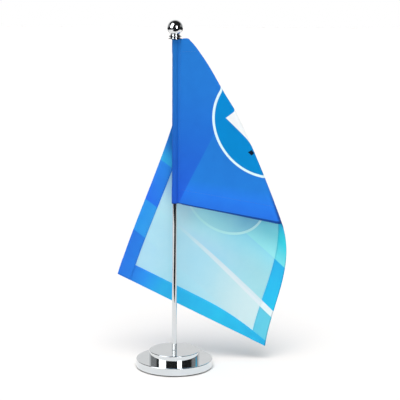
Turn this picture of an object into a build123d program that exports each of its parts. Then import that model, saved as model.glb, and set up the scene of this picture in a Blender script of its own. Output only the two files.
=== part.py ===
from build123d import *
from math import asin, cos, radians, sin, sqrt, tan
import os

# Desk flag stand, in millimetres. The origin is the middle of the pad's flat underside,
# +Z runs up the pole, +X is the way the flag flies and -Y is the side it is read from.

# Base: two stacked discs on a thin pad
pad_diameter = 67.0
pad_thickness = 1.0
lower_disc_diameter = 71.0
lower_disc_height = 7.2
upper_disc_diameter = 47.0
upper_disc_height = 7.8
disc_edge_round = 0.6
disc_underside_chamfer = 0.4

# Pole: a plain rod, tapped at both ends
pole_diameter = 4.5
pole_length = 288.9
pole_edge_chamfer = 0.25

# Threads are plain cylinders: the hole is a little larger than the screw
thread_diameter = 3.0
thread_clearance = 0.05
tap_end_room = 1.0
thread_end_chamfer = 0.4

# Screw that pulls the pole down on the discs, with its washers, in a pocket underneath
screw_engagement = 8.0
screw_head_diameter = 5.5
screw_head_height = 2.2
key_across_flats = 2.5
key_depth = 1.3
plain_washer_diameter = 7.0
plain_washer_thickness = 0.5
spring_washer_diameter = 5.6
spring_washer_thickness = 0.8
spring_washer_gap = 0.7
washer_hole_diameter = 3.2
pocket_diameter = 9.0
pocket_roof_height = 2.7
screw_hole_diameter = 3.4

# Finial: a ball on a stud, over a collar with two flared rings
ball_diameter = 14.0
collar_height = 4.0
collar_top_diameter = 8.4
collar_waist_diameter = 7.8
collar_upper_flare_diameter = 11.1
collar_lower_flare_diameter = 11.6
collar_flare_lip = 0.5
collar_cup_wall = 0.5
cup_clearance = 0.02
stud_pole_engagement = 7.0
stud_ball_engagement = 6.0

# Flag: one cloth with a sleeve on its hoist side, folded over once and hanging down
flag_hoist = 150.0
flag_fly = 235.0
cloth_thickness = 0.6
sleeve_wall = 0.5
sleeve_clearance = 0.08
sleeve_top_gap = 0.3
fold_top_reach = 12.5
fold_bottom_reach = 98.4
fold_bottom_drop = 20.0
fold_bulge = 7.5
fold_stations = 6
layer_gap_top = 3.0
layer_spread_angle = 3.8
top_edge_lean = 16.4
top_edge_bow = 9.0
fly_edge_slope = 26.5
bottom_edge_bow = 14.0

os.makedirs("parts", exist_ok=True)

lower_disc_top = pad_thickness + lower_disc_height
base_top = lower_disc_top + upper_disc_height
pole_top = base_top + pole_length
pole_radius = pole_diameter / 2
tap_radius = thread_diameter / 2 + thread_clearance
ball_radius = ball_diameter / 2
collar_top = pole_top + collar_height
cup_radius = collar_top_diameter / 2 - collar_cup_wall
ball_centre = collar_top + sqrt(ball_radius**2 - cup_radius**2)

# Base
with BuildPart() as base_pad:
    with BuildSketch(Plane.XY):
        Circle(pad_diameter / 2)
    extrude(amount=pad_thickness)
base_pad.part.label = "base_pad"

pocket_roof = pad_thickness + lower_disc_height - pocket_roof_height
with BuildPart() as lower_disc:
    with BuildSketch(Plane.XY.offset(pad_thickness)):
        Circle(lower_disc_diameter / 2)
    extrude(amount=lower_disc_height)
    fillet(lower_disc.edges().group_by(Axis.Z)[-1], disc_edge_round)
    chamfer(lower_disc.edges().group_by(Axis.Z)[0], disc_underside_chamfer)
    with BuildSketch(Plane.XY.offset(pad_thickness)):
        Circle(screw_hole_diameter / 2)
    extrude(amount=lower_disc_height, mode=Mode.SUBTRACT)
    with BuildSketch(Plane.XY.offset(pad_thickness)):
        Circle(pocket_diameter / 2)
    extrude(amount=pocket_roof - pad_thickness, mode=Mode.SUBTRACT)
lower_disc.part.label = "lower_disc"

with BuildPart() as upper_disc:
    with BuildSketch(Plane.XY.offset(lower_disc_top)):
        Circle(upper_disc_diameter / 2)
        Circle(screw_hole_diameter / 2, mode=Mode.SUBTRACT)
    extrude(amount=upper_disc_height)
    rims = upper_disc.edges().filter_by(GeomType.CIRCLE).group_by(SortBy.RADIUS)[-1]
    fillet(rims.sort_by(Axis.Z)[-1], disc_edge_round)
upper_disc.part.label = "upper_disc"

# Screw and washers under the lower disc
with BuildPart() as plain_washer:
    with BuildSketch(Plane.XY.offset(pocket_roof - plain_washer_thickness)):
        Circle(plain_washer_diameter / 2)
        Circle(washer_hole_diameter / 2, mode=Mode.SUBTRACT)
    extrude(amount=plain_washer_thickness)
plain_washer.part.label = "plain_washer"

spring_washer_top = pocket_roof - plain_washer_thickness
with BuildPart() as spring_washer:
    with BuildSketch(Plane.XY.offset(spring_washer_top - spring_washer_thickness)):
        Circle(spring_washer_diameter / 2)
        Circle(washer_hole_diameter / 2, mode=Mode.SUBTRACT)
        with Locations((spring_washer_diameter / 2, 0)):
            Rectangle(spring_washer_diameter, spring_washer_gap, mode=Mode.SUBTRACT)
    extrude(amount=spring_washer_thickness)
spring_washer.part.label = "spring_washer"

screw_head_top = spring_washer_top - spring_washer_thickness
screw_tip = base_top + screw_engagement
with BuildPart() as pole_screw:
    with BuildSketch(Plane.XY.offset(screw_head_top - screw_head_height)):
        Circle(screw_head_diameter / 2)
    extrude(amount=screw_head_height)
    with BuildSketch(Plane.XY.offset(screw_head_top)):
        Circle(thread_diameter / 2)
    extrude(amount=screw_tip - screw_head_top)
    chamfer(pole_screw.edges().group_by(Axis.Z)[-1], thread_end_chamfer)
    with BuildSketch(Plane.XY.offset(screw_head_top - screw_head_height)):
        RegularPolygon(key_across_flats / 2, 6, major_radius=False)
    extrude(amount=key_depth, mode=Mode.SUBTRACT)
pole_screw.part.label = "pole_screw"

# Pole
with BuildPart() as pole:
    with BuildSketch(Plane.XY.offset(base_top)):
        Circle(pole_radius)
    extrude(amount=pole_length)
    chamfer(pole.edges().filter_by(GeomType.CIRCLE), pole_edge_chamfer)
    with BuildSketch(Plane.XY.offset(base_top)):
        Circle(tap_radius)
    extrude(amount=screw_engagement + tap_end_room, mode=Mode.SUBTRACT)
    with BuildSketch(Plane.XY.offset(pole_top)):
        Circle(tap_radius)
    extrude(amount=-(stud_pole_engagement + tap_end_room), mode=Mode.SUBTRACT)
pole.part.label = "pole"

# Finial: the stud is fixed in the ball and passes through the collar into the pole
ring_height = collar_height / 2
with BuildPart() as finial_collar:
    with BuildSketch(Plane.XZ):
        with BuildLine():
            Polyline(
                (tap_radius, pole_top),
                (collar_lower_flare_diameter / 2, pole_top),
                (collar_lower_flare_diameter / 2, pole_top + collar_flare_lip),
                (collar_waist_diameter / 2, pole_top + ring_height),
                (collar_upper_flare_diameter / 2, pole_top + ring_height),
                (collar_upper_flare_diameter / 2, pole_top + ring_height + collar_flare_lip),
                (collar_top_diameter / 2, collar_top),
                (tap_radius, collar_top),
                close=True,
            )
        make_face()
    revolve(axis=Axis.Z)
    with Locations((0, 0, ball_centre)):
        Sphere(ball_radius + cup_clearance, mode=Mode.SUBTRACT)
finial_collar.part.label = "finial_collar"

ball_bottom = ball_centre - ball_radius
stud_top = ball_bottom + stud_ball_engagement
with BuildPart() as finial_ball:
    with Locations((0, 0, ball_centre)):
        Sphere(ball_radius)
    with BuildSketch(Plane.XY.offset(ball_bottom)):
        Circle(tap_radius)
    extrude(amount=stud_ball_engagement + tap_end_room, mode=Mode.SUBTRACT)
finial_ball.part.label = "finial_ball"

with BuildPart() as finial_stud:
    with BuildSketch(Plane.XY.offset(pole_top - stud_pole_engagement)):
        Circle(thread_diameter / 2)
    extrude(amount=stud_top - pole_top + stud_pole_engagement)
    chamfer(finial_stud.edges().filter_by(GeomType.CIRCLE), thread_end_chamfer)
finial_stud.part.label = "finial_stud"

# Flag sleeve, a snug tube that the pole runs through
sleeve_top = pole_top - sleeve_top_gap
sleeve_bottom = sleeve_top - flag_hoist
sleeve_inner_radius = pole_radius + sleeve_clearance
sleeve_outer_radius = sleeve_inner_radius + sleeve_wall
with BuildPart() as flag_sleeve:
    with BuildSketch(Plane.XY.offset(sleeve_bottom)):
        Circle(sleeve_outer_radius)
        Circle(sleeve_inner_radius, mode=Mode.SUBTRACT)
    extrude(amount=flag_hoist)
flag_sleeve.part.label = "flag_sleeve"

# The fold runs down along a shallow arc between these two ends
fold_top = Vector(fold_top_reach, 0, sleeve_top)
fold_bottom = Vector(fold_bottom_reach, 0, sleeve_bottom - fold_bottom_drop)
fold_middle = (fold_top + fold_bottom) / 2
fold_direction = (fold_bottom - fold_top).normalized()
fold_outward = Vector(-fold_direction.Z, 0, fold_direction.X)
half_chord = (fold_bottom - fold_top).length / 2
bend_radius = (half_chord**2 + fold_bulge**2) / (2 * fold_bulge)
bend_centre = fold_middle - fold_outward * (bend_radius - fold_bulge)
bend_half_angle = asin(half_chord / bend_radius)
spread = tan(radians(layer_spread_angle))

# Each station is where the layers meet the fold: its middle, its outward way and its radius
stations = []
for index in range(fold_stations):
    angle = bend_half_angle * (2 * index / (fold_stations - 1) - 1)
    outward = fold_outward * cos(angle) + fold_direction * sin(angle)
    edge = bend_centre + outward * bend_radius
    gap_at_edge = layer_gap_top + (sleeve_top - edge.Z) * spread
    roll = gap_at_edge / (2 - outward.Z * spread)
    stations.append((edge - outward * roll, outward, roll))
tangent_points = [(middle.X, middle.Z) for middle, _, _ in stations]


def layer_gap(height):
    """Distance from the front layer back to the rear layer at this height."""
    return layer_gap_top + (sleeve_top - height) * spread


# Rear layer: the far end of the cloth, hanging below the fold
top_fold = Vector(*tangent_points[0])
lean = radians(top_edge_lean)
slope = radians(fly_edge_slope)
fly_top = top_fold + Vector(-sin(lean), -cos(lean)) * (flag_fly - fold_top_reach)
fly_bottom = fly_top + Vector(cos(slope), -sin(slope)) * flag_hoist
bottom_fold = Vector(*tangent_points[-1])
top_edge_middle = (top_fold + fly_top) / 2 + Vector(cos(lean), -sin(lean)) * top_edge_bow
bottom_edge = (fly_bottom - bottom_fold).normalized()
bottom_edge_middle = (bottom_fold + fly_bottom) / 2 + Vector(-bottom_edge.Y, bottom_edge.X) * bottom_edge_bow
with BuildPart() as rear_layer:
    with BuildSketch(Plane.XZ):
        with BuildLine():
            Polyline(*tangent_points)
            ThreePointArc(bottom_fold, bottom_edge_middle, fly_bottom)
            Line(fly_bottom, fly_top)
            ThreePointArc(fly_top, top_edge_middle, top_fold)
        make_face()
    extrude(amount=flag_fly, both=True)
    with BuildSketch(Plane.YZ):
        with BuildLine():
            Polyline(
                (layer_gap(sleeve_top) - cloth_thickness / 2, sleeve_top),
                (layer_gap(sleeve_top) + cloth_thickness / 2, sleeve_top),
                (layer_gap(0) + cloth_thickness / 2, 0),
                (layer_gap(0) - cloth_thickness / 2, 0),
                close=True,
            )
        make_face()
    extrude(amount=flag_fly, both=True, mode=Mode.INTERSECT)

# The whole panel: front layer, fold and rear layer in one cloth
with BuildPart() as flag_panel:
    with BuildSketch(Plane.XZ):
        with BuildLine():
            Polyline(
                (sleeve_outer_radius, sleeve_bottom),
                (sleeve_outer_radius, sleeve_top),
                *tangent_points,
                close=True,
            )
        make_face()
    extrude(amount=cloth_thickness / 2, both=True)
    for middle, outward, roll in stations:
        along = Vector(-outward.Z, 0, outward.X)
        with BuildSketch(Plane(origin=middle + Vector(0, roll, 0), x_dir=outward, z_dir=along)):
            with BuildLine():
                outer = CenterArc((0, 0), roll + cloth_thickness / 2, -90, 180)
                inner = CenterArc((0, 0), roll - cloth_thickness / 2, -90, 180)
                Line(outer @ 0, inner @ 0)
                Line(outer @ 1, inner @ 1)
            make_face()
    loft(ruled=True)
    add(rear_layer.part)
flag_panel.part.label = "flag_panel"

for piece in (
    base_pad,
    lower_disc,
    upper_disc,
    plain_washer,
    spring_washer,
    pole_screw,
    pole,
    finial_collar,
    finial_ball,
    finial_stud,
    flag_sleeve,
    flag_panel,
):
    export_step(piece.part, f"parts/{piece.part.label}.step")
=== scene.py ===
import math

import bmesh
import bpy
import numpy as np
from mathutils import Matrix, Vector


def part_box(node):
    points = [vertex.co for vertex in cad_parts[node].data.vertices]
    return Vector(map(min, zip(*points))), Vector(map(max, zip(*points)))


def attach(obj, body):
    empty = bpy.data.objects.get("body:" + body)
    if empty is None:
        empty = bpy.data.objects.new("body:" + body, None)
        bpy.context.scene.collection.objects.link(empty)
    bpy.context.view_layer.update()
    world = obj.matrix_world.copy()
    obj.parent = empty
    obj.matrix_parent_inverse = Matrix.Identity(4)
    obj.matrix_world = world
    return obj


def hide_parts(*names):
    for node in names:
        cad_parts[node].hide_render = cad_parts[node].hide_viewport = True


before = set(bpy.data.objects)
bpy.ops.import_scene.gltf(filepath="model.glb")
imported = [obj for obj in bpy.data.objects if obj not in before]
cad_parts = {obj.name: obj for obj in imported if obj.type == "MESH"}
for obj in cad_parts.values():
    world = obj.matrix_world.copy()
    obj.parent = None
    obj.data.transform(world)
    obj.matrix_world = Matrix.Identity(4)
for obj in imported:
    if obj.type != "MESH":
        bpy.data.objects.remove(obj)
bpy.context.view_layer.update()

# ---------------------------------------------------------------- sizes, in metres
MM = 0.001
HOIST = 150 * MM
FLY = 235 * MM
CLOTH = 0.22 * MM
LAYER = 1.05 * CLOTH
HEM_TOP = 12.5 * MM
HEM_FLY = 14 * MM
HEM_BOTTOM = 14.5 * MM
HEM_TURN_UNDER = 4 * MM
HEM_SOFT = 1.5 * MM
HEM_RISE = (-1.5 * MM, 0.5 * MM)
HEM_BACK = 0.3 * MM
FLY_HEM_NARROWS = 85 * MM
FLY_HEM_LOSS = 0.68
SEAM = 3.1 * MM
FLAP = 3 * MM
FLAP_LIE = 1.1 * CLOTH
SLEEVE_EASE = 0.1 * MM
SLEEVE_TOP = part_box("flag_sleeve")[1][2]
POLE_RADIUS = (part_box("pole")[1][0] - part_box("pole")[0][0]) / 2
SLEEVE_RADIUS = POLE_RADIUS + SLEEVE_EASE + CLOTH / 2
SLEEVE_START = SEAM - 2 * math.pi * SLEEVE_RADIUS - FLAP
STITCH = 2.4 * MM
STITCH_HALF = 0.40 * STITCH
THREAD = 0.28 * MM
THREAD_FLAT = 0.35 * THREAD
THREAD_SINK = 0.1 * THREAD
SEAM_STITCH = 1.3 * MM
HEM_STITCH = 1.2 * MM

# Where the cloth hangs: the fold's two ends and the fly edge's two corners, as x and z
FOLD_TOP = Vector((12.5, 304.6)) * MM
FOLD_LOW = Vector((98.4, 135.4)) * MM
FLY_TOP = Vector((-53.0, 83.8)) * MM
FLY_LOW = Vector((85.3, 14.2)) * MM

# How far the fold and the rear layer bow out, and how far apart the two layers are
FOLD_BULGE = 8.0 * MM
FOLD_SHOULDER = 2.2 * MM
SHOULDER_ENDS = (0.12, 0.34)
REAR_BOW = (7.3 * MM, 9.0 * MM)
GAP_TOP = 3.2 * MM
GAP_SPREAD = 0.066

# The fold's top corner sinks a little, and soft creases and waves run over the cloth
CORNER_DIP = 2.4 * MM
CORNER_SOFT = 3.0 * MM
CREASE_PLACE = (38 * MM, 92 * MM)
CREASE_WAY = (0.9, 0.43)
CREASE_SLOPE = 0.05
CREASE_SOFT = 4 * MM
CREASE_REACH = 40 * MM
WAVE = 0.5 * MM
PUCKER = 0.13 * MM
PUCKER_REACH = 6 * MM

# The print, in millimetres on the flat flag: u runs along the fly from the pole, and v down the hoist
U_FULL = FLY / MM
V_FULL = HOIST / MM
RAY_LEAN = 0.274
RAY_INNER = 161.8
RAY_OUTER = 191.4
RAY_SOFT = 0.3
EMBLEM = (96.3, 67.0)
EMBLEM_STRAIGHT = 17.0
EMBLEM_RADIUS = 46.3
RING_HALF = 1.05
BIG_LOZENGE = (48.5, 42.0)
BIG_SHIFT = 4.3
BIG_OPENING = 0.47
SMALL_LOZENGE = (3.4, 2.4)
SMALL_OFF = (29.3, 27.5)
THREADS_PER_METRE = 3600.0


# ---------------------------------------------------------------- short ways to add nodes
class Maker:
    """Adds nodes to one tree. A value for a socket is either a number, a colour or another node's output."""

    def __init__(self, tree):
        self.tree = tree

    def node(self, kind, **settings):
        made = self.tree.nodes.new(kind)
        for key, value in settings.items():
            setattr(made, key, value)
        return made

    def wire(self, value, socket):
        if isinstance(value, bpy.types.NodeSocket):
            self.tree.links.new(value, socket)
        else:
            socket.default_value = value

    def feed(self, made, *values):
        """Wires values to a node's first inputs and gives its first output."""
        for value, socket in zip(values, made.inputs):
            self.wire(value, socket)
        return made.outputs[0]

    def math(self, operation, *values):
        return self.feed(self.node("ShaderNodeMath", operation=operation), *values)

    def mix_shader(self, factor, low, high):
        return self.feed(self.node("ShaderNodeMixShader"), factor, low, high)

    def blend(self, factor, low, high, mode="MIX"):
        made = self.node("ShaderNodeMix", data_type="RGBA", blend_type=mode)
        self.wire(factor, made.inputs["Factor"])
        self.wire(low, made.inputs["A"])
        self.wire(high, made.inputs["B"])
        return made.outputs["Result"]

    def step(self, value, low, high, start=0.0, end=1.0, smooth=True):
        """From start at low to end at high. Where high is the smaller, it runs the other way."""
        made = self.node("ShaderNodeMapRange")
        made.interpolation_type = "SMOOTHSTEP" if smooth else "LINEAR"
        self.wire(value, made.inputs["Value"])
        self.wire(low, made.inputs["From Min"])
        self.wire(high, made.inputs["From Max"])
        self.wire(start, made.inputs["To Min"])
        self.wire(end, made.inputs["To Max"])
        return made.outputs["Result"]

    def ramp(self, value, full, stops):
        """A colour that changes from stop to stop as value goes from 0 to full."""
        made = self.node("ShaderNodeValToRGB")
        ends = made.color_ramp.elements
        for element, (place, colour) in zip(ends, (stops[0], stops[-1])):
            element.position = place / full
            element.color = srgb(colour)
        for place, colour in stops[1:-1]:
            ends.new(place / full).color = srgb(colour)
        self.wire(self.math("DIVIDE", value, full), made.inputs["Fac"])
        return made.outputs["Color"]

    def noise(self, vector, scale, detail=3.0, rough=0.5):
        made = self.node("ShaderNodeTexNoise")
        self.wire(vector, made.inputs["Vector"])
        self.wire(scale, made.inputs["Scale"])
        self.wire(detail, made.inputs["Detail"])
        self.wire(rough, made.inputs["Roughness"])
        return made.outputs["Fac"]

    def split(self, vector):
        """The X, Y and Z of a vector."""
        made = self.node("ShaderNodeSeparateXYZ")
        self.wire(vector, made.inputs[0])
        return made.outputs

    def put_out(self, shader, height, depth, strength=1.0):
        """Bumps a surface shader by a height and makes it the material's surface."""
        bump = self.node("ShaderNodeBump")
        bump.inputs["Strength"].default_value = strength
        bump.inputs["Distance"].default_value = depth
        self.wire(height, bump.inputs["Height"])
        self.wire(bump.outputs[0], shader.inputs["Normal"])
        self.wire(shader.outputs[0], self.node("ShaderNodeOutputMaterial").inputs["Surface"])


def new_nodes(owner):
    """The empty node tree of a material or a world."""
    owner.use_nodes = True
    tree = owner.node_tree
    tree.nodes.clear()
    return tree


def srgb(text):
    """A linear colour from its hexadecimal display value."""
    values = [int(text[k : k + 2], 16) / 255 for k in (0, 2, 4)]
    linear = [v / 12.92 if v <= 0.04045 else ((v + 0.055) / 1.055) ** 2.4 for v in values]
    return (*linear, 1.0)


# ---------------------------------------------------------------- camera, floor and light
def make_camera():
    """A long lens from the front, looking down a little."""
    look_down = 10.83
    lean = 0.33
    data = bpy.data.cameras.new("camera")
    data.lens = 140.3
    data.sensor_width = 36.0
    data.clip_start = 0.05
    camera = bpy.data.objects.new("camera", data)
    bpy.context.collection.objects.link(camera)
    tilt = Matrix.Rotation(math.radians(90 - look_down), 4, "X")
    roll = Matrix.Rotation(math.radians(lean), 4, "Z")
    camera.matrix_world = Matrix.Translation((0.0231, -1.4, 0.4257)) @ tilt @ roll
    bpy.context.scene.camera = camera


def aim_light(name, kind, place, aim):
    data = bpy.data.lights.new(name, kind)
    light = bpy.data.objects.new(name, data)
    bpy.context.collection.objects.link(light)
    way = Vector(aim) - Vector(place)
    light.matrix_world = Matrix.Translation(place) @ way.to_track_quat("-Z", "Y").to_matrix().to_4x4()
    light.visible_camera = False
    return light


def make_key():
    """The light that shades everything: wide and soft, from above and a little in front."""
    key = aim_light("key", "SUN", (-0.04, -0.43, 1.0), (0, 0, 0))
    key.data.energy = 2.3
    key.data.angle = math.radians(45)
    key.visible_glossy = False


def make_softbox(name, place, size, power):
    """A panel that only polished metal shows."""
    panel = aim_light(name, "AREA", place, (0.02, 0, 0.18))
    panel.data.shape = "RECTANGLE"
    panel.data.size, panel.data.size_y = size
    panel.data.energy = power
    panel.visible_diffuse = False


def make_floor():
    """A pale table. Polished metal mirrors it dark in front, except far to the left, and dark far away."""
    mesh = bpy.data.meshes.new("floor")
    build = bmesh.new()
    bmesh.ops.create_grid(build, x_segments=1, y_segments=1, size=4.0)
    build.to_mesh(mesh)
    build.free()
    floor = bpy.data.objects.new("floor", mesh)
    bpy.context.collection.objects.link(floor)
    material = bpy.data.materials.new("pale_table")
    m = Maker(new_nodes(material))
    paint = m.node("ShaderNodeBsdfDiffuse")
    paint.inputs["Color"].default_value = (0.872, 0.855, 0.842, 1)
    dark = m.node("ShaderNodeEmission")
    dark.inputs["Color"].default_value = (0.02, 0.022, 0.025, 1)
    place = m.node("ShaderNodeTexCoord").outputs["Object"]
    spot = m.split(place)
    in_front = m.math("LESS_THAN", spot["Y"], -0.24)
    not_left = m.math("GREATER_THAN", spot["X"], -0.25)
    reach = m.node("ShaderNodeVectorMath", operation="DISTANCE")
    m.feed(reach, place, (0, 0.2, 0))
    far = m.math("GREATER_THAN", reach.outputs["Value"], 0.85)
    unlit = m.math("MAXIMUM", m.math("MULTIPLY", in_front, not_left), far)
    mirrored = m.math("MULTIPLY", unlit, m.node("ShaderNodeLightPath").outputs["Is Glossy Ray"])
    surface = m.mix_shader(mirrored, paint.outputs[0], dark.outputs[0])
    m.wire(surface, m.node("ShaderNodeOutputMaterial").inputs["Surface"])
    mesh.materials.append(material)


def make_world():
    """White to the camera, soft light to the cloth, and to polished metal a dark room with a pale wall."""
    world = bpy.data.worlds.new("studio")
    bpy.context.scene.world = world
    m = Maker(new_nodes(world))
    way = m.split(m.node("ShaderNodeTexCoord").outputs["Generated"])
    wall = m.step(way["Y"], 0.45, 0.85, 0.02, 0.8)
    band = m.math("MULTIPLY", m.step(way["Z"], 0.08, 0.15), m.step(way["Z"], 0.52, 0.40))
    band = m.math("MULTIPLY", band, m.step(way["Y"], -0.15, 0.08, 0.02, 0.3))
    mirrored = m.node("ShaderNodeBackground")
    m.wire(m.math("MAXIMUM", wall, band), mirrored.inputs["Color"])
    soft = m.node("ShaderNodeBackground")
    soft.inputs["Color"].default_value = (1, 1, 1, 1)
    soft.inputs["Strength"].default_value = 0.53
    seen = m.node("ShaderNodeBackground")
    seen.inputs["Color"].default_value = (1, 1, 1, 1)
    ray = m.node("ShaderNodeLightPath").outputs
    lit = m.mix_shader(ray["Is Glossy Ray"], soft.outputs[0], mirrored.outputs[0])
    room = m.mix_shader(ray["Is Camera Ray"], lit, seen.outputs[0])
    m.wire(room, m.node("ShaderNodeOutputWorld").inputs["Surface"])


make_camera()
make_floor()
make_world()
make_key()
make_softbox("left_softbox", (-0.98, -0.69, 1.0), (0.95, 1.7), 20)
make_softbox("right_softbox", (0.5, -1.08, 0.55), (0.4, 0.75), 5)
bpy.context.scene.view_settings.view_transform = "Standard"


# ---------------------------------------------------------------- how the cloth hangs
def fold_edge(t):
    """Where the cloth turns over, from the top hem at 0 to the bottom hem at 1."""
    chord = FOLD_LOW - FOLD_TOP
    out = Vector((-chord.y, chord.x)).normalized()
    shoulder = FOLD_SHOULDER * (1 - float(smooth_step(t, *SHOULDER_ENDS)))
    return FOLD_TOP + chord * t + out * (4 * FOLD_BULGE * t * (1 - t) + shoulder)


def layer_gap(z):
    """How far apart the two layers hang at a height."""
    return GAP_TOP + (SLEEVE_TOP - z) * GAP_SPREAD


def smooth_step(x, low, high):
    """0 at low and 1 at high, with soft ends."""
    t = np.clip((x - low) / (high - low), 0, 1)
    return t * t * (3 - 2 * t)


def in_hem(v):
    """1 where a row lies in the top or bottom hem, 0 between them."""
    top = 1 - smooth_step(v - HEM_TOP, -HEM_SOFT, HEM_SOFT)
    return top + smooth_step(v - (HOIST - HEM_BOTTOM), -HEM_SOFT, HEM_SOFT)


def sleeve_path(v):
    """Across the sleeve, from the flap's free edge round the pole to the seam, as x and y."""
    radius = SLEEVE_RADIUS + LAYER * in_hem(v)
    tangent = math.acos(radius / SEAM) if radius < SEAM else 0.0
    angles = np.linspace(tangent, 2 * math.pi - tangent, 40)
    round_pole = np.stack([radius * np.cos(angles), radius * np.sin(angles)], 1)
    flap = np.array([(SEAM + reach, FLAP_LIE) for reach in (FLAP, FLAP / 2, 0.2 * MM)])
    return np.concatenate([flap, round_pole])


def row_path(v):
    """One thread of the cloth at the distance v below the top hem: its points and the u of each."""
    t = v / HOIST
    # The front layer's straight line from the seam to the fold, and the rear layer's bowed line on from it
    seam = np.array([SEAM, SLEEVE_TOP - v])
    edge = np.array(fold_edge(t))
    end = np.array(FLY_TOP.lerp(FLY_LOW, t))
    chord = end - edge
    side = np.array([-chord[1], chord[0]]) / np.linalg.norm(chord)
    roll = layer_gap(edge[1]) / 2
    front = np.linalg.norm(edge - seam)
    share = np.linspace(0, 1, 400)
    most = REAR_BOW[0] * (1 - t) + REAR_BOW[1] * t
    bow = most * 6.75 * share * (1 - share) ** 2
    rear = np.outer(1 - share, edge) + np.outer(share, end) + np.outer(bow, side)
    rear_run = np.concatenate([[0], np.cumsum(np.linalg.norm(np.diff(rear, axis=0), axis=1))])
    # The fold is a half circle: past is the run beyond its middle, and away how far in from its edge
    quarter = math.pi / 2 * roll
    before = front - roll + quarter
    run = np.linspace(0, before + rear_run[-1] - roll + quarter, 900)
    past = run - before
    bend = np.clip(past / roll, -math.pi / 2, math.pi / 2)
    away = np.where(np.abs(past) < quarter, roll * (1 - np.cos(bend)), roll + np.abs(past) - quarter)
    ahead = edge + np.outer(away, (seam - edge) / front)
    behind = np.stack([np.interp(away, rear_run, rear[:, axis]) for axis in (0, 1)], 1)
    plan = np.where((past < 0)[:, None], ahead, behind)
    gap = np.where(past < 0, 2 * roll, layer_gap(plan[:, 1]))
    panel = np.stack([plan[:, 0], gap * (1 + np.sin(bend)) / 2, plan[:, 1]], 1)
    panel[:, 2] -= CORNER_DIP * np.exp(-((past / CORNER_SOFT) ** 2)) * math.exp(-v / (2 * CORNER_SOFT))
    # The sleeve comes before them, and each side of the seam is spread to the cloth's true length
    across = sleeve_path(v)
    sleeve = np.column_stack([across, np.full(len(across), SLEEVE_TOP - v)])
    points = np.concatenate([sleeve, panel])
    run = np.concatenate([[0], np.cumsum(np.linalg.norm(np.diff(points, axis=0), axis=1))])
    run -= run[len(sleeve)]
    wide = np.where(run > 0, (FLY - SEAM) / run[-1], (SLEEVE_START - SEAM) / run[0])
    return points, SEAM + run * wide


class HangingCloth:
    """The middle surface of the cloth, read at u along the fly and v down the hoist."""

    def __init__(self):
        self.v = np.linspace(0, HOIST, 76)
        sleeve = np.linspace(SLEEVE_START, SEAM, 70)[:-1]
        self.u = np.concatenate([sleeve, np.linspace(SEAM, FLY, 700)])
        rows = []
        for v in self.v:
            points, u = row_path(v)
            rows.append(np.stack([np.interp(self.u, u, points[:, axis]) for axis in range(3)], 1))
        self.grid = np.array(rows)

    def smooth(self, u, v):
        """A point of the grid, without creases or waves."""
        i = np.clip(np.searchsorted(self.u, u) - 1, 0, len(self.u) - 2)
        j = np.clip(np.searchsorted(self.v, v) - 1, 0, len(self.v) - 2)
        a = ((u - self.u[i]) / (self.u[i + 1] - self.u[i]))[..., None]
        b = ((v - self.v[j]) / (self.v[j + 1] - self.v[j]))[..., None]
        low = self.grid[j, i] * (1 - a) + self.grid[j, i + 1] * a
        high = self.grid[j + 1, i] * (1 - a) + self.grid[j + 1, i + 1] * a
        return low * (1 - b) + high * b

    def ways(self, u, v):
        """Unit vectors along the fly, down the hoist and out of the reverse of the cloth."""
        step = 0.5 * MM
        right = self.smooth(np.minimum(u + step, FLY), v)
        left = self.smooth(np.maximum(u - step, SLEEVE_START), v)
        low = self.smooth(u, np.minimum(v + step, HOIST))
        high = self.smooth(u, np.maximum(v - step, 0))
        along = right - left
        down = low - high
        out = np.cross(along, down)
        return [way / np.linalg.norm(way, axis=-1, keepdims=True) for way in (along, down, out)]

    def at(self, u, v, height=0.0):
        """A point on the cloth, or as high above its reverse as height says."""
        lift = relief(u, v) + height
        return self.smooth(u, v) + self.ways(u, v)[2] * lift[..., None]


def relief(u, v):
    """How far soft creases and waves lift the cloth towards its reverse."""
    fade = smooth_step(u, SEAM, SEAM + 12 * MM)
    off = (u - CREASE_PLACE[0]) * CREASE_WAY[0] + (v - CREASE_PLACE[1]) * CREASE_WAY[1]
    rounded = np.sqrt(off**2 + CREASE_SOFT**2) - CREASE_SOFT
    crease = CREASE_SLOPE * rounded * np.exp(-((off / CREASE_REACH) ** 2))
    wave = WAVE * np.sin(u / (21 * MM) + v / (34 * MM))
    puckers = pucker(u, HOIST - HEM_BOTTOM - v) + pucker(v, FLY - HEM_FLY - u)
    return fade * (crease + wave + puckers)


def pucker(along, off):
    """The small waves that thread pulls into the cloth along a hem. off is the way from its inner edge."""
    wave = np.sin(along / (1.7 * MM) + 1.6 * np.sin(along / (6.1 * MM)))
    strength = 0.6 + 0.4 * np.sin(along / (17 * MM))
    return PUCKER * wave * strength * np.exp(-((off / PUCKER_REACH) ** 2))


cloth = HangingCloth()


# ---------------------------------------------------------------- cloth pieces
def link_mesh(name, build, materials):
    """A smooth-shaded object from a bmesh."""
    mesh = bpy.data.meshes.new(name)
    build.to_mesh(mesh)
    build.free()
    for material in materials:
        mesh.materials.append(material)
    for polygon in mesh.polygons:
        polygon.use_smooth = True
    piece = bpy.data.objects.new(name, mesh)
    bpy.context.collection.objects.link(piece)
    return piece


def keep_flat_place(build, flat_place):
    """A UV map that holds where each point is on the flat flag."""
    layer = build.loops.layers.uv.new("flat")
    for face in build.faces:
        for loop in face.loops:
            u, v = flat_place[loop.vert]
            loop[layer].uv = (u / FLY, v / HOIST)


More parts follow.
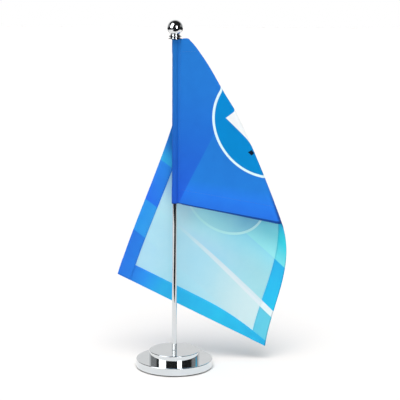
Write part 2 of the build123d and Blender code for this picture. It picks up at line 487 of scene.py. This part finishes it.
def make_sheet(name, across, down, place, materials, turned):
    """A grid over two lists of lengths. place gives each pair its spot in the air and on the flat flag."""
    build = bmesh.new()
    counts = (len(across) - 1, len(down) - 1)
    grid = bmesh.ops.create_grid(build, x_segments=counts[0], y_segments=counts[1], size=1.0)
    corner = np.array([vert.co[:2] for vert in grid["verts"]])
    i, j = np.rint((corner + 1) / 2 * counts).astype(int).T
    spots, us, vs = place(np.asarray(across)[i], np.asarray(down)[j])
    for vert, spot in zip(grid["verts"], spots):
        vert.co = spot
    keep_flat_place(build, dict(zip(grid["verts"], zip(us, vs))))
    if turned:
        bmesh.ops.reverse_faces(build, faces=build.faces)
    piece = link_mesh(name, build, materials)
    solid = piece.modifiers.new("thickness", "SOLIDIFY")
    solid.thickness = CLOTH
    solid.offset = 0
    solid.material_offset = 1
    return piece


def make_flag(materials):
    """The whole cloth, with its finest steps in the sleeve and as far as the fold reaches."""
    fold_reach = 130 * MM
    sleeve = np.linspace(SLEEVE_START, SEAM, 44)[:-1]
    rolled = np.linspace(SEAM, fold_reach, 150)[:-1]
    hanging = np.linspace(fold_reach, FLY, 76)
    across = np.concatenate([sleeve, rolled, hanging])
    down = np.linspace(0, HOIST, 110)

    def place(u, v):
        return cloth.at(u, v), u, v

    return make_sheet("flag_cloth", across, down, place, materials, True)


def hem_section(run, width, height):
    """A hem's path from the cloth's edge at run 0, over the turn, in to its width, and turned under.

    Gives how far in from the edge and how high above the cloth each point is.
    """
    turn = math.pi * height / 2
    lip = math.pi * LAYER / 2
    reach = width - LAYER / 2
    angle = np.clip(run / turn, 0, 1) * math.pi
    curl = np.clip((run - turn - reach) / lip, 0, 1) * math.pi
    back = np.maximum(run - turn - reach - lip, 0)
    inward = -np.sin(angle) * height / 2 + np.clip(run - turn, 0, reach) + np.sin(curl) * LAYER / 2 - back
    up = (1 - np.cos(angle)) * height / 2 - (1 - np.cos(curl)) * LAYER / 2
    return inward, up


def make_hem(name, width, ends, flat_of, layers_under, materials, turned, shift=0.0, share=None):
    """A hem along one edge. flat_of gives u and v from the distances along the edge and in from it.

    layers_under says where another hem lies beneath, shift moves the hem's place on the print along the
    fly, and share gives the part of its width that the hem keeps.
    """
    along = np.linspace(*ends, int((ends[1] - ends[0]) / (1.3 * MM)))
    plain = math.pi * LAYER
    bends = np.linspace(0, plain, 7)
    flat = np.linspace(plain, plain + width, 9)[1:]
    lip = np.linspace(0, math.pi * LAYER / 2, 6)[1:] + plain + width - LAYER / 2
    under = np.array([lip[-1] + HEM_TURN_UNDER])
    section = np.concatenate([bends, flat[:-1], lip, under])

    def place(distance, run):
        u, v = flat_of(distance, np.zeros_like(distance))
        # Over a hem beneath, the turn is taller and its run is stretched to match
        height = LAYER * (2 + 2 * layers_under(u, v))
        scaled = np.where(run < plain, run * height / (2 * LAYER), run - plain + math.pi * height / 2)
        inward, up = hem_section(scaled, width, height)
        if share:
            inward = np.where(inward > 0, inward * share(distance), inward)
        u, v = flat_of(distance, np.maximum(inward, 0))
        beyond = np.minimum(inward, 0)[:, None]
        edge = cloth.at(*flat_of(distance, 0 * distance))
        ahead = cloth.at(*flat_of(distance, np.full_like(distance, MM))) - edge
        ahead /= np.linalg.norm(ahead, axis=1, keepdims=True)
        return cloth.at(u, v, up) + ahead * beyond, u + shift, v

    return make_sheet(name, along, section, place, materials, turned)


def make_stitches(name, lines, material):
    """Rows of stitches on both sides of the cloth: each is a short spindle that bends with it."""
    build = bmesh.new()
    flat_place = {}
    for start, end, *heights in lines:
        start, end = np.array(start), np.array(end)
        length = np.linalg.norm(end - start)
        line = (end - start) / length
        count = int(length / STITCH)
        for height, offset in zip(heights, (0.0, 0.5)):
            verts = []
            middles = []
            for stitch in range(count):
                made = bmesh.ops.create_icosphere(build, subdivisions=1, radius=1.0)
                verts += made["verts"]
                middles += [(stitch + 0.5 + offset / 2) / count * length] * len(made["verts"])
            round_it = np.array([vert.co for vert in verts])
            run = np.array(middles) + round_it[:, 2] * STITCH_HALF
            side = round_it[:, 0] * THREAD / 2
            u = start[0] + run * line[0] - side * line[1]
            v = start[1] + run * line[1] + side * line[0]
            spots = cloth.at(u, v, height + round_it[:, 1] * THREAD_FLAT)
            for vert, spot, a, b in zip(verts, spots, u, v):
                vert.co = spot
                flat_place[vert] = (a, b)
    keep_flat_place(build, flat_place)
    bmesh.ops.recalc_face_normals(build, faces=build.faces)
    return link_mesh(name, build, [material])


# ---------------------------------------------------------------- finishes
def new_group(name, inputs, outputs):
    """A node group with its maker, its inputs as they arrive inside and its outputs to wire up."""
    group = bpy.data.node_groups.new(name, "ShaderNodeTree")
    for label, kind in inputs:
        group.interface.new_socket(label, in_out="INPUT", socket_type=kind)
    for label, kind in outputs:
        group.interface.new_socket(label, in_out="OUTPUT", socket_type=kind)
    maker = Maker(group)
    return group, maker, maker.node("NodeGroupInput").outputs, maker.node("NodeGroupOutput").inputs


def print_field(m, u, v):
    """The background: deep blue at the hoist, slanting rays, and cyan towards the fly and the bottom."""
    # Two blues meet on a slant beside the hoist
    hoist = [(0, "257bd3"), (45, "2479d5"), (65, "2374d4"), (85, "226fd4"), (105, "2268d3"), (150, "2460dc")]
    after = [(0, "257bd3"), (60, "2378d6"), (90, "237ad4"), (125, "247ddb"), (137, "287eed"), (150, "2670e0")]
    slant = m.math("ADD", u, m.math("MULTIPLY", v, 0.449))
    field = m.blend(m.step(slant, 71.5, 70), m.ramp(v, V_FULL, after), m.ramp(v, V_FULL, hoist))
    # A bright facet with a curved edge, brightest at that edge
    bend = m.math("MULTIPLY", m.math("MULTIPLY", v, v), -0.00078)
    facet = m.math("ADD", m.math("ADD", m.math("MULTIPLY", v, 0.33), 124), bend)
    start = m.math("SUBTRACT", m.math("SUBTRACT", facet, 22), m.math("MULTIPLY", v, 0.25))
    full = m.math("SUBTRACT", m.math("SUBTRACT", facet, 2), m.math("MULTIPLY", v, 0.14))
    down = m.step(v, 0, V_FULL, smooth=False)
    dull = m.blend(down, srgb("3392e8"), srgb("3ad6e8"))
    bright = m.blend(down, srgb("33b3ef"), srgb("76e5f0"))
    past_facet = m.math("SUBTRACT", u, facet)
    bright = m.blend(m.step(past_facet, -22, 0), dull, bright)
    field = m.blend(m.step(u, start, full), field, bright)
    # Three rays that all lean one way, each with a sharp edge
    lean = leaning(m, u, v)
    near_top = m.ramp(m.math("SUBTRACT", lean, 120), 42, [(4, "318ff0"), (40, "2c72f0")])
    near_low = m.ramp(m.math("SUBTRACT", lean, 110), 52, [(6, "2eb7ee"), (50, "2ec8f3")])
    inner = m.blend(down, near_top, near_low)
    field = m.blend(m.step(past_facet, -RAY_SOFT, RAY_SOFT), field, inner)
    middle = m.blend(down, srgb("2f99f0"), srgb("68d2e9"))
    field = m.blend(m.step(lean, RAY_INNER - RAY_SOFT, RAY_INNER + RAY_SOFT), field, middle)
    outer = [(0, "2d7ae6"), (12, "2d82e8"), (24, "3096f2"), (42, "32b5f0"), (100, "31c3f2"), (150, "2fb4e8")]
    outer_edge = m.step(lean, RAY_OUTER - RAY_SOFT, RAY_OUTER + RAY_SOFT)
    field = m.blend(outer_edge, field, m.ramp(v, V_FULL, outer))
    return m.blend(m.math("MULTIPLY", print_beam(m, v, lean), 0.92), field, srgb("eef8fa"))


def leaning(m, u, v):
    """How far along the fly a point is, measured from a line that leans as the rays do."""
    return m.math("SUBTRACT", u, m.math("MULTIPLY", v, RAY_LEAN))


def print_beam(m, v, lean):
    """The white beam between two rays: it grows wider and brighter down the hoist."""
    half = m.math("ADD", m.math("MULTIPLY", m.step(v, 50, 140, smooth=False), 1.7), 1.4)
    off = m.math("ABSOLUTE", m.math("SUBTRACT", lean, RAY_INNER))
    beam = m.step(m.math("SUBTRACT", off, half), 0.4, -0.4)
    return m.math("MULTIPLY", beam, m.step(v, 25, 90))


def lozenge(m, du, dv, half_sizes):
    """How far out a point is, as a part of a lozenge's half sizes."""
    across = m.math("DIVIDE", m.math("ABSOLUTE", du), half_sizes[0])
    return m.math("ADD", across, m.math("DIVIDE", m.math("ABSOLUTE", dv), half_sizes[1]))


def print_emblem(m, u, v, field):
    """A plain sign: a blue oval with a white rim, a white open lozenge and two small dark lozenges."""
    du = m.math("SUBTRACT", u, EMBLEM[0])
    dv = m.math("SUBTRACT", v, EMBLEM[1])
    wide = m.math("MAXIMUM", m.math("SUBTRACT", m.math("ABSOLUTE", du), EMBLEM_STRAIGHT), 0)
    reach = m.math("SQRT", m.math("ADD", m.math("MULTIPLY", wide, wide), m.math("MULTIPLY", dv, dv)))
    off = m.math("SUBTRACT", reach, EMBLEM_RADIUS)
    field = m.blend(m.step(off, 0.3, -0.3), field, srgb("0087d0"))
    rim = m.step(m.math("ABSOLUTE", off), RING_HALF + 0.2, RING_HALF - 0.2)
    field = m.blend(rim, field, srgb("dcf6fd"))
    big = lozenge(m, m.math("ADD", du, BIG_SHIFT), dv, BIG_LOZENGE)
    opening = m.step(big, BIG_OPENING - 0.01, BIG_OPENING + 0.01)
    field = m.blend(m.math("MULTIPLY", m.step(big, 1.01, 0.99), opening), field, srgb("eff3f5"))
    beside = m.math("SUBTRACT", m.math("ABSOLUTE", du), SMALL_OFF[0])
    small = lozenge(m, beside, m.math("SUBTRACT", dv, SMALL_OFF[1]), SMALL_LOZENGE)
    return m.blend(m.step(small, 1.1, 0.9), field, srgb("0a1c33"))


def paint_edge_shade(m, u, v, face):
    """Painted shade: the face a little darker in the sleeve, as shade on the cloth round the pole, and much
    darker along the low edge, as shade on the turned edge, strongest on the front layer.
    """
    # Painted shade: the whole sleeve a little darker, as shade on the cloth wrapped round the pole
    sleeve_shade = m.math("MULTIPLY", m.step(u, 2.6, 1.4), 0.16)
    face = m.blend(sleeve_shade, face, srgb("000000"))
    # Painted shade: a dark line along the low edge, wider and darker on the front layer, where the turned
    # edge lies in shade
    in_front = m.step(u, 124, 106)
    rolled = m.math("MULTIPLY", m.math("MULTIPLY", m.step(u, 30, 105), in_front), 0.9)
    edge = m.step(m.math("ADD", v, rolled), 148.9, 149.4)
    depth = m.math("ADD", m.math("MULTIPLY", in_front, 0.45), 0.3)
    return m.blend(m.math("MULTIPLY", edge, depth), face, srgb("12387c"))


def shade_fold(m, u, v, face):
    """Painted shade: the face darker on a strip just before the fold's low end, where the cloth turns over
    away from the light.
    """
    crest = m.math("ADD", m.math("MULTIPLY", m.math("SUBTRACT", v, V_FULL), 0.585), 104.6)
    past = m.math("SUBTRACT", u, crest)
    shade = m.math("MULTIPLY", m.step(past, -6.5, -2.5), m.step(past, 7, 2))
    shade = m.math("MULTIPLY", shade, m.math("MULTIPLY", m.step(v, 118, 144), 0.75))
    return m.blend(shade, face, srgb("12387c"))


def show_through(m, u, v, face):
    """The reverse: the face's colours, paled by undyed threads towards the fly, and paler towards the top and
    beside the fold as painted light against the front layer's shade.
    """
    lean = leaning(m, u, v)
    light = m.math("MULTIPLY", m.step(lean, RAY_INNER - RAY_SOFT, RAY_INNER + RAY_SOFT), m.step(v, 62, 128))
    undyed = m.blend(m.step(v, 60, 130), srgb("bfeef7"), srgb("bcebe8"))
    undyed = m.blend(light, undyed, srgb("e8f6f3"))
    # Near the fold, a stronger colour stands in for light that would come through the cloth
    near_fold = m.math("MULTIPLY", m.step(u, 178, 148), m.step(v, 36, 54))
    undyed = m.blend(m.math("MULTIPLY", near_fold, 0.9), undyed, srgb("acf8fd"))
    share = m.math("ADD", m.math("MULTIPLY", m.step(u, 132, 160), 0.24), 0.50)
    # Painted light: paler towards the top, lifting the shade that the front layer casts on the rear
    share = m.math("ADD", share, m.math("MULTIPLY", m.step(v, 85, 25), 0.10))
    # Painted light: paler again in the upper part beside the fold, lifting the same shade
    corner = m.math("MULTIPLY", m.step(v, 95, 70), 0.10)
    share = m.math("ADD", share, m.math("MULTIPLY", m.step(u, 182, 165), corner))
    reverse = m.blend(share, face, undyed)
    beam = m.math("MULTIPLY", print_beam(m, v, lean), m.step(v, 149, 147))
    return m.blend(m.math("MULTIPLY", beam, 0.75), reverse, srgb("dbeaf4"))


def print_group():
    """The printed colours of the face, and the paler ones that show on the reverse."""
    outputs = [("Face", "NodeSocketColor"), ("Reverse", "NodeSocketColor")]
    group, m, _, out = new_group("flag print", [], outputs)
    flat = m.split(m.node("ShaderNodeUVMap", uv_map="flat").outputs[0])
    u = m.math("MULTIPLY", flat["X"], U_FULL)
    v = m.math("MULTIPLY", flat["Y"], V_FULL)
    face = print_emblem(m, u, v, print_field(m, u, v))
    face = paint_edge_shade(m, u, v, face)
    m.wire(shade_fold(m, u, v, face), out["Face"])
    m.wire(show_through(m, u, v, face), out["Reverse"])
    return group


def weave_group():
    """Plain weave in threads per metre: a height and a light and dark mask."""
    inputs = [("Threads", "NodeSocketFloat")]
    outputs = [("Height", "NodeSocketFloat"), ("Mottle", "NodeSocketFloat")]
    group, m, given, out = new_group("plain weave", inputs, outputs)
    flat = m.split(m.node("ShaderNodeUVMap", uv_map="flat").outputs[0])
    turn = 2 * math.pi
    warp = m.math("MULTIPLY", m.math("MULTIPLY", flat["X"], FLY * turn), given["Threads"])
    weft = m.math("MULTIPLY", m.math("MULTIPLY", flat["Y"], HOIST * turn), given["Threads"])
    over = m.math("MULTIPLY", m.math("SINE", warp), m.math("SINE", weft))
    m.wire(m.math("ADD", m.math("MULTIPLY", over, 0.5), 0.5), out["Height"])
    m.wire(m.noise(m.node("ShaderNodeTexCoord").outputs["Object"], 90.0, 4.0, 0.6), out["Mottle"])
    return group


def use_group(m, group, **values):
    """Puts a node group in a tree, feeds it and gives its outputs."""
    made = m.node("ShaderNodeGroup")
    made.node_tree = group
    for key, value in values.items():
        m.wire(value, made.inputs[key])
    return made.outputs


def new_surface(name, roughness=0.5):
    """A material with an empty tree, its maker and its shader."""
    material = bpy.data.materials.new(name)
    m = Maker(new_nodes(material))
    shader = m.node("ShaderNodeBsdfPrincipled")
    shader.inputs["Roughness"].default_value = roughness
    return material, m, shader


def thread_material():
    """Sewing thread in the colour of the print round it, a little darker, with a twist."""
    material, m, shader = new_surface("sewing_thread", 0.5)
    dyed = use_group(m, PRINT)["Face"]
    m.wire(m.blend(0.22, dyed, srgb("1c3f86")), shader.inputs["Base Color"])
    shader.inputs["Sheen Weight"].default_value = 0.2
    twist = m.node("ShaderNodeTexWave")
    twist.inputs["Scale"].default_value = 700.0
    m.wire(m.node("ShaderNodeTexCoord").outputs["Object"], twist.inputs["Vector"])
    m.put_out(shader, twist.outputs["Fac"], 0.1 * MM)
    return material


def cloth_material(name, side, sheen):
    """Matt woven cloth with the print's colours for one side."""
    material, m, shader = new_surface(name, 0.6)
    dyed = use_group(m, PRINT)[side]
    weave = use_group(m, WEAVE, Threads=THREADS_PER_METRE)
    mottle = m.blend(weave["Mottle"], srgb("000000"), srgb("ffffff"))
    m.wire(m.blend(0.10, dyed, mottle, "OVERLAY"), shader.inputs["Base Color"])
    shader.inputs["Sheen Weight"].default_value = sheen
    shader.inputs["Sheen Roughness"].default_value = 0.4
    shader.inputs["Specular IOR Level"].default_value = 0.05
    m.put_out(shader, weave["Height"], 0.1 * MM, 0.25)
    return material


def wear_group():
    """Marks on polished metal: haze, fine scratches and a lathe's rings, from Object coordinates."""
    inputs = [("Stretch", "NodeSocketVector"), ("Scale", "NodeSocketFloat")]
    outputs = [("Haze", "NodeSocketFloat"), ("Scratch", "NodeSocketFloat"), ("Rings", "NodeSocketFloat")]
    group, m, given, out = new_group("polish marks", inputs, outputs)
    place = m.node("ShaderNodeTexCoord").outputs["Object"]
    mapped = m.node("ShaderNodeMapping")
    m.wire(place, mapped.inputs["Vector"])
    m.wire(given["Stretch"], mapped.inputs["Scale"])
    m.wire(m.noise(place, 55.0, 5.0, 0.6), out["Haze"])
    m.wire(m.noise(mapped.outputs[0], given["Scale"], 2.0, 0.5), out["Scratch"])
    level = m.feed(m.node("ShaderNodeVectorMath", operation="MULTIPLY"), place, (1.0, 1.0, 0.0))
    radius = m.node("ShaderNodeVectorMath", operation="LENGTH")
    m.wire(level, radius.inputs[0])
    across = m.feed(m.node("ShaderNodeCombineXYZ"), radius.outputs["Value"])
    m.wire(m.noise(across, 1400.0, 3.0, 0.7), out["Rings"])
    return group


def metal_material(name, tints, roughness, scale, depth, stretch=(1.0, 1.0, 1.0), rings=0.0):
    """Bright metal between two tints, with scratches of a scale and depth, and a share of lathe rings."""
    material, m, shader = new_surface(name)
    marks = use_group(m, WEAR, Stretch=stretch, Scale=scale)
    m.wire(m.blend(marks["Haze"], srgb(tints[0]), srgb(tints[1])), shader.inputs["Base Color"])
    shader.inputs["Metallic"].default_value = 1.0
    hazy = m.math("MULTIPLY", marks["Haze"], roughness)
    m.wire(m.math("ADD", hazy, roughness * 0.5), shader.inputs["Roughness"])
    height = m.math("ADD", marks["Scratch"], m.math("MULTIPLY", marks["Rings"], rings))
    m.put_out(shader, height, depth, 0.3)
    return material


def pad_material():
    """Dark foam with fine cells."""
    material, m, shader = new_surface("foam_pad", 0.9)
    cells = m.node("ShaderNodeTexVoronoi")
    cells.inputs["Scale"].default_value = 1500.0
    m.wire(m.node("ShaderNodeTexCoord").outputs["Object"], cells.inputs["Vector"])
    m.wire(m.blend(cells.outputs["Distance"], srgb("1c1c1e"), srgb("34343a")), shader.inputs["Base Color"])
    m.put_out(shader, cells.outputs["Distance"], 0.2 * MM)
    return material


PRINT = print_group()
WEAVE = weave_group()
WEAR = wear_group()

# ---------------------------------------------------------------- the flag
face_cloth = cloth_material("printed_face", "Face", 0.02)
reverse_cloth = cloth_material("paler_reverse", "Reverse", 0.03)
both_sides = [face_cloth, reverse_cloth]
thread = thread_material()
flag = make_flag(both_sides)


def over_fly_hem(u, v):
    """1 on the fly hem, 0 elsewhere."""
    return smooth_step(u - (FLY - HEM_FLY), *HEM_RISE)


def over_bottom_hem(u, v):
    """1 on the bottom hem, 0 elsewhere."""
    return smooth_step(v - (HOIST - HEM_BOTTOM), *HEM_RISE)


def fly_hem_share(v):
    """The part of its width that the fly hem keeps: it narrows towards its low corner."""
    narrowed = np.clip((v - FLY_HEM_NARROWS) / (HOIST - FLY_HEM_NARROWS), 0, 1)
    return 1 - FLY_HEM_LOSS * narrowed**2


def over_nothing(u, v):
    """0 everywhere: no hem lies beneath."""
    return np.zeros_like(u)


hems = [
    make_hem(
        "top_hem",
        HEM_TOP,
        (SEAM + FLAP + HEM_BACK, FLY),
        lambda a, b: (a, b),
        over_fly_hem,
        both_sides,
        turned=False,
    ),
    make_hem(
        "bottom_hem",
        HEM_BOTTOM,
        (SEAM + FLAP + HEM_BACK, FLY - HEM_BACK),
        lambda a, b: (a, HOIST - b),
        over_nothing,
        both_sides,
        turned=True,
    ),
    make_hem(
        "fly_hem",
        HEM_FLY,
        (HEM_BACK, HOIST),
        lambda a, b: (FLY - b, a),
        over_bottom_hem,
        both_sides,
        turned=False,
        shift=HEM_FLY,
        share=fly_hem_share,
    ),
]
on_face = -CLOTH / 2 - THREAD_SINK
on_hem = LAYER * 2 + CLOTH / 2 + THREAD_SINK
on_flap = CLOTH * 1.6 + THREAD_SINK
top_line = HEM_TOP - HEM_STITCH
low_line = HOIST - HEM_BOTTOM + HEM_STITCH
fly_line = [
    (FLY - HEM_FLY * fly_hem_share(v) + HEM_STITCH, v)
    for v in (top_line, FLY_HEM_NARROWS, 100 * MM, 112 * MM, 124 * MM, low_line)
]
seam_top = (SEAM + SEAM_STITCH, 1 * MM)
seam_low = (SEAM + SEAM_STITCH, HOIST - 1 * MM)
stitch_lines = [
    ((SEAM + FLAP, top_line), fly_line[0], on_face, on_hem),
    ((SEAM + FLAP, low_line), fly_line[-1], on_face, on_hem),
    *[(one, other, on_face, on_hem) for one, other in zip(fly_line, fly_line[1:])],
    (seam_top, seam_low, on_face, on_flap),
]
stitches = make_stitches("stitching", stitch_lines, thread)
for piece in (flag, *hems, stitches):
    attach(piece, "flag")
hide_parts("flag_sleeve", "flag_panel")

# ---------------------------------------------------------------- metal and pad
disc_metal = metal_material("polished_disc", ("d4d8da", "e2e5e7"), 0.05, 400.0, 0.01 * MM, rings=1.5)
drawn = (1.0, 1.0, 0.02)
pole_metal = metal_material("drawn_rod", ("d0d4d6", "dfe2e4"), 0.06, 1500.0, 0.01 * MM, drawn)
finial_metal = metal_material("mirror_finial", ("d8dbdd", "e4e7e9"), 0.03, 500.0, 0.004 * MM)
rolled = (1.0, 1.0, 0.2)
plated_steel = metal_material("zinc_plated_steel", ("9a9b9c", "b4b5b4"), 0.3, 900.0, 0.02 * MM, rolled)
FINISHES = {
    "lower_disc": disc_metal,
    "upper_disc": disc_metal,
    "pole": pole_metal,
    "finial_collar": finial_metal,
    "finial_ball": finial_metal,
    "finial_stud": plated_steel,
    "pole_screw": plated_steel,
    "plain_washer": plated_steel,
    "spring_washer": plated_steel,
    "base_pad": pad_material(),
}
for node_name, finish in FINISHES.items():
    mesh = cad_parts[node_name].data
    mesh.materials.clear()
    mesh.materials.append(finish)
